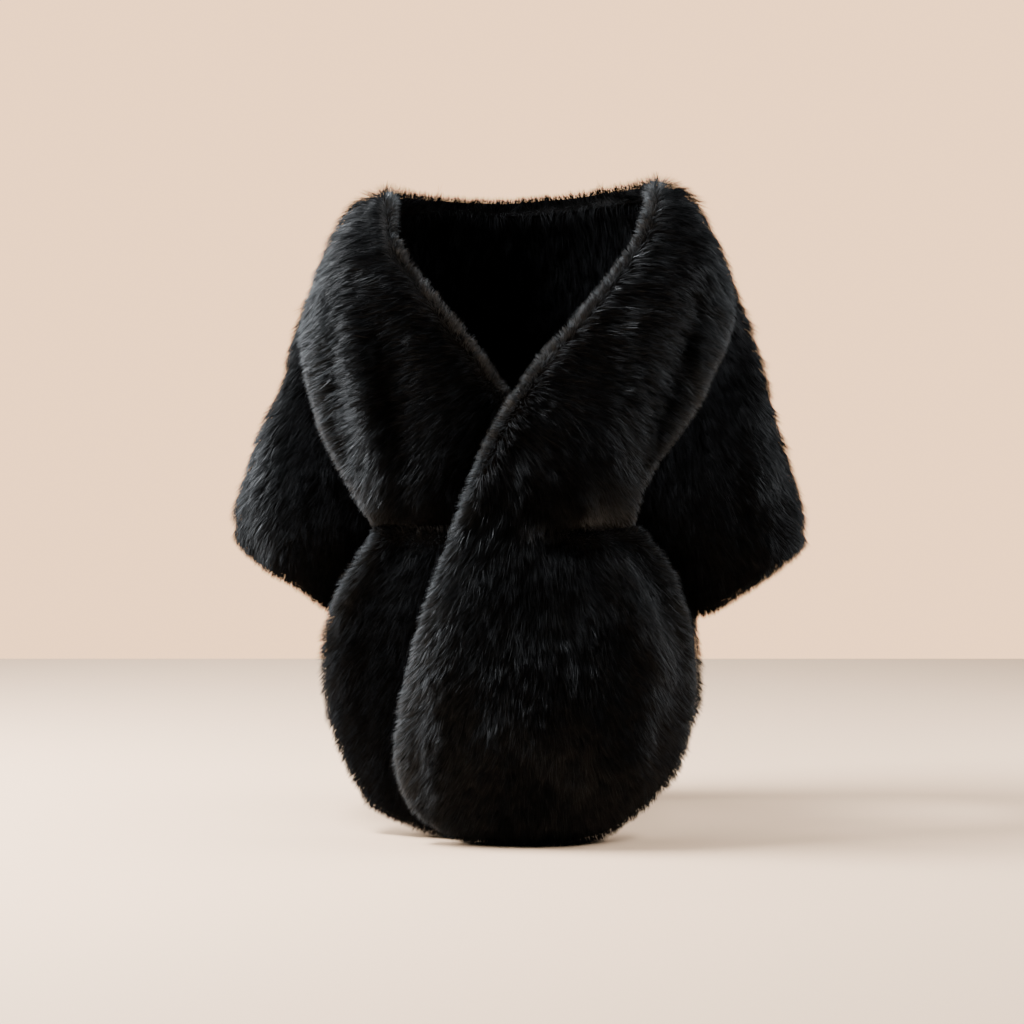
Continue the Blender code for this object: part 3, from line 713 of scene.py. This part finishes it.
def openSkin():  # all the panels' skins as one, without the ends that are sewn together
    points, triangles, offset = [], [], 0
    for node, (p, t) in skins.items():
        points.append(p)
        triangles.append(t[~sewnFaces[node]] + offset)
        offset += len(p)
    return BVHTree.FromPolygons(np.concatenate(points).tolist(), np.concatenate(triangles).tolist())


wholeSkin = openSkin()


def seamLips():  # points on the rims of the walls' sewn ends
    found = {}
    for node, (points, triangles) in skins.items():
        sewn = sewnFaces[node]
        found[node] = np.intersect1d(triangles[sewn], triangles[~sewn])
    return found


def sharedNormals():  # panels that are sewn together bend as one
    normals = {node: pointNormals(*skins[node], (~sewnFaces[node]).astype(float)) for node in skins}
    places = np.concatenate([skins[node][0][lips[node]] for node in skins])
    old = np.concatenate([normals[node][lips[node]] for node in skins])
    for node in skins:
        for i in lips[node]:
            near = np.linalg.norm(places - skins[node][0][i], axis=1) < peltCut["seamReach"]
            normals[node][i] = unit(old[near].sum(0))
    return normals


lips = seamLips()
skinNormals = sharedNormals()


def edgeField(points, normals):  # distance to the nearest free edge, and the way that leads out over it
    starts = points - normals * peltCut["rayStart"]
    rim = castOut(wholeSkin, starts, -normals, peltCut["throughWall"]) >= peltCut["throughWall"]
    apart = np.linalg.norm(points[:, None] - points[rim][None], axis=2)
    weight = hump(apart - apart.min(1, keepdims=True), peltCut["edgeSpread"])
    return apart.min(1), unit(weight @ normals[rim])


class FineSkin:  # a panel's skin, split finer, and what the pelt and the lay of its fur follow
    def __init__(self, node):
        points, triangles = skins[node]
        normals = skinNormals[node]
        away, over = edgeField(points, normals)
        fromSeam = np.linalg.norm(points[:, None] - points[lips[node]][None], axis=2).min(1)
        onFloor = (points[:, 2] < peltCut["onFloor"]).astype(float)
        fields = [normals, over, away[:, None], fromSeam[:, None], onFloor[:, None]]
        self.node, self.kind = node, node.split("_")[0]
        self.points, self.triangles, fields = splitOnce(points, triangles, normals, fields)
        self.normals, self.over = unit(fields[0]), unit(fields[1])
        self.away, self.fromSeam, self.onFloor = (field[:, 0] for field in fields[2:])
        self.sewn = np.tile(sewnFaces[node], 4)
        self.depth, self.height = self.points[:, 1], self.points[:, 2]
        self.outward = (self.normals * outwardFromBody(self.points)).sum(1)
        self.rim = hump(self.away, combing["rimNear"])
        self.tuck = tuckShare(node, self.points)
        self.hem = smooth(peltCut["hemHeight"], 0.0, self.height)
        self.nape = smooth(*peltCut["napeHeight"], self.height) * smooth(*peltCut["napeBack"], self.depth)


def insetOf(skin):  # where the pelt lies before it is folded
    rimInset = peltCut["rimInset"] + (peltCut["napeInset"] - peltCut["rimInset"]) * skin.nape
    inset = peltCut["inset"] + (rimInset - peltCut["inset"]) * skin.rim
    left = 1.0 - peltCut["hemFill"] * skin.hem
    place = skin.points - skin.normals * inset[:, None] * left[:, None]
    return place + skin.normals * peltCut["waistFill"] * skin.tuck[:, None]


def outerEdge(skin):  # a front's own edge over the side panel, which is soft
    way = 1.0 if skin.node.endswith("over") else -1.0
    return np.clip(skin.over[:, 0] * way, 0.0, 1.0) * (skin.kind == "front")


def leftEdge(skin):  # and the over tail's leading edge
    return np.clip(-skin.over[:, 0], 0.0, 1.0) * (skin.node == "tail_over")


def bareShare(skin):  # 0 where another panel lies on this one
    covered = np.zeros(len(skin.points))
    starts = skin.points + skin.normals * peltCut["coverFrom"]
    for other, tree in solidTrees.items():
        if other != skin.node:
            found = castOut(tree, starts, skin.normals, peltCut["coverReach"])
            covered = np.maximum(covered, found < peltCut["coverNear"])
    return 1.0 - covered


def pushOf(skin, bare):  # how far the rolled rims, folds and lumps stand out
    width = peltCut["rollWidth"]
    roll = peltCut["rollHeight"] * hump(skin.away, width, peltCut["rollAway"])
    roll -= peltCut["grooveDepth"] * hump(skin.away, width, peltCut["grooveAway"])
    unsewn = smooth(0.0, peltCut["seamEase"], skin.fromSeam)
    roll *= unsewn * (1.0 - peltCut["outerRoll"] * outerEdge(skin))
    folds = bandsAt(creases[skin.node], skin.points) * unsewn
    lumps = np.array([noise.noise(Vector(p) / peltCut["lumpSize"]) for p in skin.points])
    seen = np.clip(skin.outward / peltCut["foldsFull"], 0.0, 1.0)
    push = (roll + folds) * seen * bare + lumps * peltCut["lump"]
    return push * (smooth(0.0, peltCut["floorEase"], skin.height) * (1.0 - skin.onFloor))


def layOf(skin):  # which way the strands run
    over = skin.over.copy()
    droop = combing["droop"] * smooth(*combing["droopBelow"], skin.height)
    over[:, 2] -= droop * (1.0 - np.maximum(over[:, 2], 0.0))
    nearEdge = smooth(combing["rimFar"], combing["rimNear"], skin.away)
    inside = smooth(*combing["innerFrom"], skin.outward) * (1.0 - combing["innerRim"])
    combedOver = nearEdge * (1.0 - inside) * combing["rimOver"]
    napeOver = combing["napeRim"] * nearEdge * smooth(*combing["napeFrom"], skin.outward)
    combedOver = (combedOver + skin.nape * (napeOver - combedOver))[:, None]
    comb = combOf[skin.node](skin.points) * (1.0 - combedOver) + unit(over) * combedOver
    comb -= skin.normals * (comb * skin.normals).sum(1, keepdims=True)
    rimLift = combing["rimLift"] + (combing["napeLift"] - combing["rimLift"]) * skin.nape
    lift = combing["lift"] + (rimLift - combing["lift"]) * skin.rim
    tuckLift = combing["tailTuckLift" if skin.kind == "tail" else "tuckLift"]
    lift = np.radians(lift + (tuckLift - lift) * skin.tuck)[:, None]
    splay = combing["splay"] * smooth(combing["splayHeight"], 0.0, skin.height)[:, None]
    level = skin.normals * (1.0, 1.0, 0.0)
    return unit(comb * np.cos(lift) + skin.normals * np.sin(lift) + level * splay)


def reachOf(skin, starts, lay):  # how long they are
    shortest, longest = combing["shortest"], combing["longest"]
    longer = 1.0 + combing["napeLonger"] * skin.nape + combing["sideLonger"] * (skin.kind == "side")
    reach = castOut(wholeSkin, starts, lay, longest) * combing["pastSkin"] * longer
    reach = np.maximum(np.clip(reach, shortest, longest), combing["hemReach"] * skin.hem)
    reach *= 1.0 - (1.0 - combing["tuckShort"]) * skin.tuck * (skin.kind == "front")
    return reach * (1.0 - combing["leadShort"] * skin.rim * leftEdge(skin))


def flatsOf(skin, lit, shaded):  # which way their flats face
    flat = skin.normals.copy()
    flat[:, [0, 2]] *= np.abs(flat[:, [0, 2]]) ** combing["flatness"][skin.kind]
    litWay = np.tile(combing["litWay"], (len(flat), 1))
    litWay[:, 0] *= np.sign(skin.normals[:, 0] + 0.001)  # never 0
    shadedWay = unit(np.array(combing["shadedWay"]))
    front = smooth(*combing["frontFacing"], skin.normals[:, 1])
    lit, shaded = (lit * front)[:, None], (shaded * front)[:, None]
    flat = unit(flat) * np.maximum(1.0 - lit - shaded, 0.0)
    flat = unit(flat + unit(litWay) * lit + shadedWay * shaded)
    turn = hump(skin.away, combing["turning"])[:, None]
    return unit(flat * (1.0 - turn) + (skin.normals + combing["edgeTurn"] * skin.over) * turn)


def paintedHighlightOf(skin):  # painted highlight: the strands are made lighter along the edges, where light would catch them, but not along the lower ones, and a little in the tails' gather at the waist
    if skin.kind not in combing["paintedHighlightReach"]:
        return np.zeros(len(skin.points))
    up = skin.over[:, 2]
    outer = outerEdge(skin)
    low = leftEdge(skin) * smooth(*combing["lowPaintedHighlightFrom"], skin.height)
    strength = np.clip(combing["paintedHighlightLevel"] + combing["paintedHighlightUp"] * up, 0.0, 1.0)
    strength += np.maximum(outer, low) * (combing["paintedHighlightOuter"] - strength)
    rising = np.clip(up * combing["paintedHighlightRise"], 0.0, 1.0) * (skin.kind == "front")
    strength *= combing["paintedHighlightLeast"] + (1.0 - combing["paintedHighlightLeast"]) * rising
    reach = combing["paintedHighlightReach"][skin.kind] + combing["outerPaintedHighlight"] * outer + combing["lowPaintedHighlight"] * low
    gathered = combing["gatherPaintedHighlight"] * skin.tuck * (skin.kind == "tail")
    return np.maximum(strength * hump(skin.away, reach), gathered)


def mattedAndShadedShare(skin):  # fur that a panel over it presses, and the painted shade beside that panel, where the strands lose their pale tufts
    apart = np.full(len(skin.points), 1.0)
    for other in combing["liesUnder"].get(skin.node, ()):
        found = [solidTrees[other].find_nearest(Vector(point))[3] for point in skin.points]
        apart = np.minimum(apart, found)
    near = smooth(combing["mattedAndShadedTo"], combing["mattedAndShadedFrom"], apart)
    return near * smooth(*combing["mattedAndShadedBelow"], skin.height)


def innerShare(skin):  # hidden faces need less pile, but the inside of the neck shows
    inside = smooth(*combing["thinInward"], skin.outward)
    neck = smooth(*combing["neckHeight"], skin.height) * combing["neckShare"][skin.kind]
    return 1.0 - inside * (1.0 - np.maximum(neck, combing["thinShare"]))


def sidesOf(skin):  # 1 outside, 2 inside, and 0 at the seams and under the hems, where no fur grows
    side = np.where(skin.outward[skin.triangles].mean(1) > peltCut["insideBelow"], 1, 2)
    side[skin.sewn] = 0
    side[skin.onFloor[skin.triangles].min(1) == 1.0] = 0
    return side


def makePelt(node):
    skin = FineSkin(node)
    inset, lay = insetOf(skin), layOf(skin)
    bare = bareShare(skin)
    shape = inset + skin.normals * pushOf(skin, bare)[:, None]
    shape[:, 2] = np.maximum(shape[:, 2], peltCut["offFloor"])
    # the sheen bands paint a highlight on the strands where they turn to the light, and paint shade where
    # they turn away
    turned = np.clip(bandsAt(sheens.get(node, ()), skin.points), -1.0, 1.0)
    matted = np.maximum(mattedAndShadedShare(skin), -turned)
    # painted shade on the inside of the walls as well
    mattedAndShadedInside = combing["mattedAndShadedInside"] * smooth(*combing["mattedAndShadedInward"], skin.outward)

    mesh = bpy.data.meshes.new("pelt_" + node)
    mesh.from_pydata(shape.tolist(), [], skin.triangles.tolist())
    mesh.shade_smooth()
    mesh.materials.append(underfurMaterial)
    write(mesh, "side", "INT", "FACE", sidesOf(skin))
    write(mesh, "lay", "FLOAT_VECTOR", "POINT", lay)
    write(mesh, "rise", "FLOAT_VECTOR", "POINT", flatsOf(skin, np.maximum(turned, 0.0), matted))
    for name, values in {
        "reach": reachOf(skin, inset, lay),
        "gathering": 1.0 - combing["rimLoose"] * skin.rim,
        "bare": bare * innerShare(skin) * (1.0 + combing["rimThicker"] * skin.rim),
        # painted highlight along the edges and in the sheen bands
        "frost": np.maximum(paintedHighlightOf(skin), combing["sheenPaintedHighlight"] * turned),
        "matted": np.maximum(matted, mattedAndShadedInside),
    }.items():
        write(mesh, name, "FLOAT", "POINT", values)
    pelt = addObject("pelt_" + node, mesh)
    area = np.linalg.norm(faceNormals(shape, skin.triangles), axis=1).sum() / 2.0
    print("pelt", node, "has", len(skin.triangles), "triangles and", round(area, 4), "m2 a side")
    return pelt


def write(mesh, name, kind, domain, values):
    attribute = mesh.attributes.new(name, kind, domain)
    key = "vector" if kind == "FLOAT_VECTOR" else "value"
    attribute.data.foreach_set(key, np.asarray(values).ravel())


pelts = {node: makePelt(node) for node in combOf}


# The pile: strands of fur, each a bent blade of two triangles

pile = {
    "perSquareMetre": {"back": 250000, "side": 300000, "front": 350000, "tail": 340000},
    "width": 0.00088,  # of a strand that is as long as the next value, and shorter ones are finer
    "fullLength": 0.028,
    "finest": 0.5,
    "widths": (0.6, 1.3),  # the least and most, as shares
    "bow": 0.085,  # how far a strand arches, as a share of its length
    "bows": (0.3, 1.5),
    "swirl": 0.42,
    "swirlSize": 0.050,
    "waviness": 0.50,
    "waveSize": 0.014,
    "stray": 0.20,
    "tuftStray": 0.6,  # the share of it that a whole tuft strays
    "tuftSpacing": 0.0066,
    "tuftPull": 0.45,
    "leastPull": 0.35,  # the share of it that every strand follows
    "roll": 0.55,
    "shortest": 0.62,
    "longest": 1.06,
    "offFloor": 0.0002,
    "seed": 11,
    "seedStep": 10,
}
bladeHeights = (-0.15, 0.28, 0.28, 1.0)  # its root is sunk in the pelt
unwrap = {"bands": 8, "margin": 0.03, "spread": (0.0, -0.0012, 0.0012, 0.0), "ends": 0.01}


def makeBlade():
    corners = [(0.0, 0.0), (-0.5, 1.0), (0.5, 1.0), (0.0, 0.0)]
    corners = [(*corner, height) for corner, height in zip(corners, bladeHeights)]
    mesh = bpy.data.meshes.new("blade")
    mesh.from_pydata(corners, [], [(0, 1, 2), (1, 3, 2)])
    mesh.shade_smooth()
    write(mesh, "along", "FLOAT", "POINT", np.maximum(bladeHeights, 0.0))
    return addObject("blade", mesh)


pileSockets = {
    "Geometry": "NodeSocketGeometry",
    "Blade": "NodeSocketObject",
    "Side": "NodeSocketInt",
    "Strands per m2": "NodeSocketFloat",
    "Width": "NodeSocketFloat",
    "Bow": "NodeSocketFloat",
    "Swirl": "NodeSocketFloat",
    "Swirl size": "NodeSocketFloat",
    "Waviness": "NodeSocketFloat",
    "Wave size": "NodeSocketFloat",
    "Stray": "NodeSocketFloat",
    "Tufts per m2": "NodeSocketFloat",
    "Tuft pull": "NodeSocketFloat",
    "Roll": "NodeSocketFloat",
    "Shortest": "NodeSocketFloat",
    "Seed": "NodeSocketInt",
    "Material": "NodeSocketMaterial",
}


def named(tree, name, kind="FLOAT"):
    settings = {"data_type": kind}
    return tree.wire("GeometryNodeInputNamedAttribute", settings, {"Name": name}, output="Attribute")


def randomly(tree, low, high, seed, kind="FLOAT"):
    inputs = {"Min": low, "Max": high, "Seed": seed}
    return tree.wire("FunctionNodeRandomValue", {"data_type": kind}, inputs, output="Value")


def eddies(tree, size):
    place = tree.wire("GeometryNodeInputPosition")
    inputs = {"Vector": place, "Scale": 1.0 / size, "Detail": 1.0}
    colour = tree.wire("ShaderNodeTexNoise", None, inputs, output="Color")
    return tree.vector("SUBTRACT", colour, (0.5, 0.5, 0.5))


def strew(tree, ground, where, density, seed):
    inputs = {"Mesh": ground, "Selection": where, "Density": density, "Seed": seed}
    settings = {"distribute_method": "RANDOM"}
    return tree.wire("GeometryNodeDistributePointsOnFaces", settings, inputs, output="Points")


def tipOf(tree, get, strayShare, lengthShare):  # where a strand from here would end
    swirl = tree.scaled(eddies(tree, get("Swirl size")), get("Swirl") * 2.0)
    wave = tree.scaled(eddies(tree, get("Wave size")), get("Waviness") * 2.0)
    stray = randomly(tree, (-1.0, -1.0, -1.0), (1.0, 1.0, 1.0), get("Seed") + 2, "FLOAT_VECTOR")
    stray = tree.scaled(stray, get("Stray") * strayShare)
    way = tree.vector("ADD", named(tree, "lay", "FLOAT_VECTOR"), swirl)
    way = tree.unit(tree.vector("ADD", tree.vector("ADD", way, wave), stray))
    place = tree.wire("GeometryNodeInputPosition")
    return tree.vector("ADD", place, tree.scaled(way, named(tree, "reach") * lengthShare))


def gatheredTip(tree, get, place, tufts):  # its own end, pulled towards the end of the nearest tuft
    seed = get("Seed")
    inputs = {"Geometry": tufts, "Sample Position": place}
    nearest = tree.wire("GeometryNodeSampleNearest", {"domain": "POINT"}, inputs)
    tuftTip = tree.wire(
        "GeometryNodeSampleIndex",
        {"data_type": "FLOAT_VECTOR", "domain": "POINT"},
        {"Geometry": tufts, "Value": tipOf(tree, get, pile["tuftStray"], 1.0), "Index": nearest},
    )
    ownTip = tipOf(tree, get, 1.0, randomly(tree, get("Shortest"), pile["longest"], seed + 3))
    pull = get("Tuft pull") * named(tree, "gathering") * randomly(tree, pile["leastPull"], 1.0, seed + 4)
    inputs = {"Factor": pull, "A": ownTip, "B": tuftTip}
    return tree.wire("ShaderNodeMix", {"data_type": "VECTOR"}, inputs, output="Result")


def turnedAlong(tree, get, along):  # the strand's flat faces as its pelt says, and rolls a little
    facing = tree.wire(
        "FunctionNodeAxesToRotation",
        {"primary_axis": "Z", "secondary_axis": "Y"},
        {"Primary Axis": along, "Secondary Axis": named(tree, "rise", "FLOAT_VECTOR")},
    )
    roll = randomly(tree, -1.0, 1.0, get("Seed") + 5) * get("Roll")
    inputs = {"Axis": (0.0, 0.0, 1.0), "Angle": roll}
    roll = tree.wire("FunctionNodeAxisAngleToRotation", None, inputs)
    inputs = {"Rotation": facing, "Rotate By": roll}
    return tree.wire("FunctionNodeRotateRotation", {"rotation_space": "LOCAL"}, inputs)


def growPileTree():
    group = bpy.data.node_groups.new("growPile", "GeometryNodeTree")
    tree = Tree(group)
    sockets = {}
    for name, kind in pileSockets.items():
        sockets[name] = group.interface.new_socket(name, in_out="INPUT", socket_type=kind)
    group.interface.new_socket("Geometry", in_out="OUTPUT", socket_type="NodeSocketGeometry")
    given = group.nodes.new("NodeGroupInput")

    def get(name):
        return Wire(tree, tree.pick(given.outputs, name))

    ground, seed = get("Geometry"), get("Seed")
    inputs = {"A": named(tree, "side", "INT"), "B": get("Side")}
    where = tree.wire("FunctionNodeCompare", {"data_type": "INT", "operation": "EQUAL"}, inputs)
    strands = strew(tree, ground, where, get("Strands per m2") * named(tree, "bare"), seed)
    tufts = strew(tree, ground, where, get("Tufts per m2"), seed + 1)
    place = tree.wire("GeometryNodeInputPosition")
    along = tree.vector("SUBTRACT", gatheredTip(tree, get, place, tufts), place)
    long = tree.wire("ShaderNodeVectorMath", {"operation": "LENGTH"}, {0: along}, output="Value")
    finer = long * ((1.0 - pile["finest"]) / pile["fullLength"]) + pile["finest"]
    width = get("Width") * randomly(tree, *pile["widths"], seed + 6) * finer
    bow = get("Bow") * long * randomly(tree, *pile["bows"], seed + 7)
    size = tree.wire("ShaderNodeCombineXYZ", None, {"X": width, "Y": bow, "Z": long})
    blade = tree.wire("GeometryNodeObjectInfo", None, {"Object": get("Blade")}, output="Geometry")
    inputs = {"Points": strands, "Instance": blade, "Rotation": turnedAlong(tree, get, along), "Scale": size}
    grown = tree.wire("GeometryNodeInstanceOnPoints", None, inputs)
    shaded = tree.wire(
        "GeometryNodeStoreNamedAttribute",
        {"data_type": "FLOAT", "domain": "INSTANCE"},
        {"Geometry": grown, "Name": "shade", "Value": randomly(tree, 0.0, 1.0, seed + 8)},
    )
    real = tree.wire("GeometryNodeRealizeInstances", None, {"Geometry": shaded})
    dressed = tree.wire("GeometryNodeSetMaterial", None, {"Geometry": real, "Material": get("Material")})
    out = group.nodes.new("NodeGroupOutput")
    link(tree, dressed, out.inputs[0])
    return group, {name: socket.identifier for name, socket in sockets.items()}


blade = makeBlade()
pileTree, pileInputs = growPileTree()


def unwrapBlades(mesh):  # a column for each shade, in bands by how much painted highlight the strand has
    count = len(mesh.vertices)
    shade, frost = np.zeros(count, np.float32), np.zeros(count, np.float32)
    mesh.attributes["shade"].data.foreach_get("value", shade)
    mesh.attributes["frost"].data.foreach_get("value", frost)
    bands, margin, ends = unwrap["bands"], unwrap["margin"], unwrap["ends"]
    band = np.minimum(np.floor(np.clip(frost, 0.0, 1.0) * bands), bands - 1)
    across = (band + margin + (1.0 - 2.0 * margin) * shade) / bands
    corner = np.arange(count) % len(bladeHeights)
    across += np.array(unwrap["spread"])[corner]
    up = np.clip(np.array(bladeHeights), ends, 1.0 - ends)[corner]
    used = np.zeros(len(mesh.loops), np.int32)
    mesh.loops.foreach_get("vertex_index", used)
    layer = mesh.uv_layers.new(name="OFBake")
    layer.data.foreach_set("uv", np.stack([across, up], axis=1)[used].astype(np.float32).ravel())


def keepOffFloor(mesh):
    places = np.zeros(len(mesh.vertices) * 3, np.float32)
    mesh.vertices.foreach_get("co", places)
    heights = places[2::3]
    np.maximum(heights, pile["offFloor"], out=heights)
    mesh.vertices.foreach_set("co", places)
    mesh.update()


def growPile(node, side, seed):
    kind = node.split("_")[0]
    modifier = pelts[node].modifiers.new("growPile", "NODES")
    modifier.node_group = pileTree
    for name, value in {
        "Blade": blade,
        "Side": side,
        "Strands per m2": float(pile["perSquareMetre"][kind]),
        "Width": pile["width"],
        "Bow": pile["bow"],
        "Swirl": pile["swirl"],
        "Swirl size": pile["swirlSize"],
        "Waviness": pile["waviness"],
        "Wave size": pile["waveSize"],
        "Stray": pile["stray"],
        "Tufts per m2": 1.0 / pile["tuftSpacing"] ** 2,
        "Tuft pull": pile["tuftPull"],
        "Roll": pile["roll"],
        "Shortest": pile["shortest"],
        "Seed": seed,
        "Material": furMaterial,
    }.items():
        modifier[pileInputs[name]] = value
    graph = bpy.context.evaluated_depsgraph_get()
    mesh = bpy.data.meshes.new_from_object(pelts[node].evaluated_get(graph), depsgraph=graph)
    pelts[node].modifiers.remove(modifier)
    grown = addObject(f"pile_{node}_{'outside' if side == 1 else 'inside'}", mesh)
    mesh.name = grown.name
    keepOffFloor(mesh)
    unwrapBlades(mesh)
    print(grown.name, "has", len(mesh.polygons), "triangles")
    return grown


piles = {}
seed, step = pile["seed"], pile["seedStep"]
for node in combOf:
    piles[node] = [growPile(node, 1, seed), growPile(node, 2, seed + step)]
    seed += 2 * step
bpy.data.objects.remove(blade)
print("the pile has", sum(len(p.data.polygons) for pair in piles.values() for p in pair), "triangles in all")


# Each piece, a sheet of double-faced fur, rides on the shawl's body in place of its CAD part, which is
# hidden

guideNames = ("side", "lay", "rise", "reach", "gathering", "bare")


def dropGuides(mesh):  # what only the growing of the pile reads
    for name in guideNames:
        if name in mesh.attributes:
            mesh.attributes.remove(mesh.attributes[name])


for node, pelt in pelts.items():
    dropGuides(pelt.data)
    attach(pelt, body)
    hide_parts(node)
    for grown in piles[node]:
        dropGuides(grown.data)
        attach(grown, body)
print("all the pieces ride on the shawl's body")
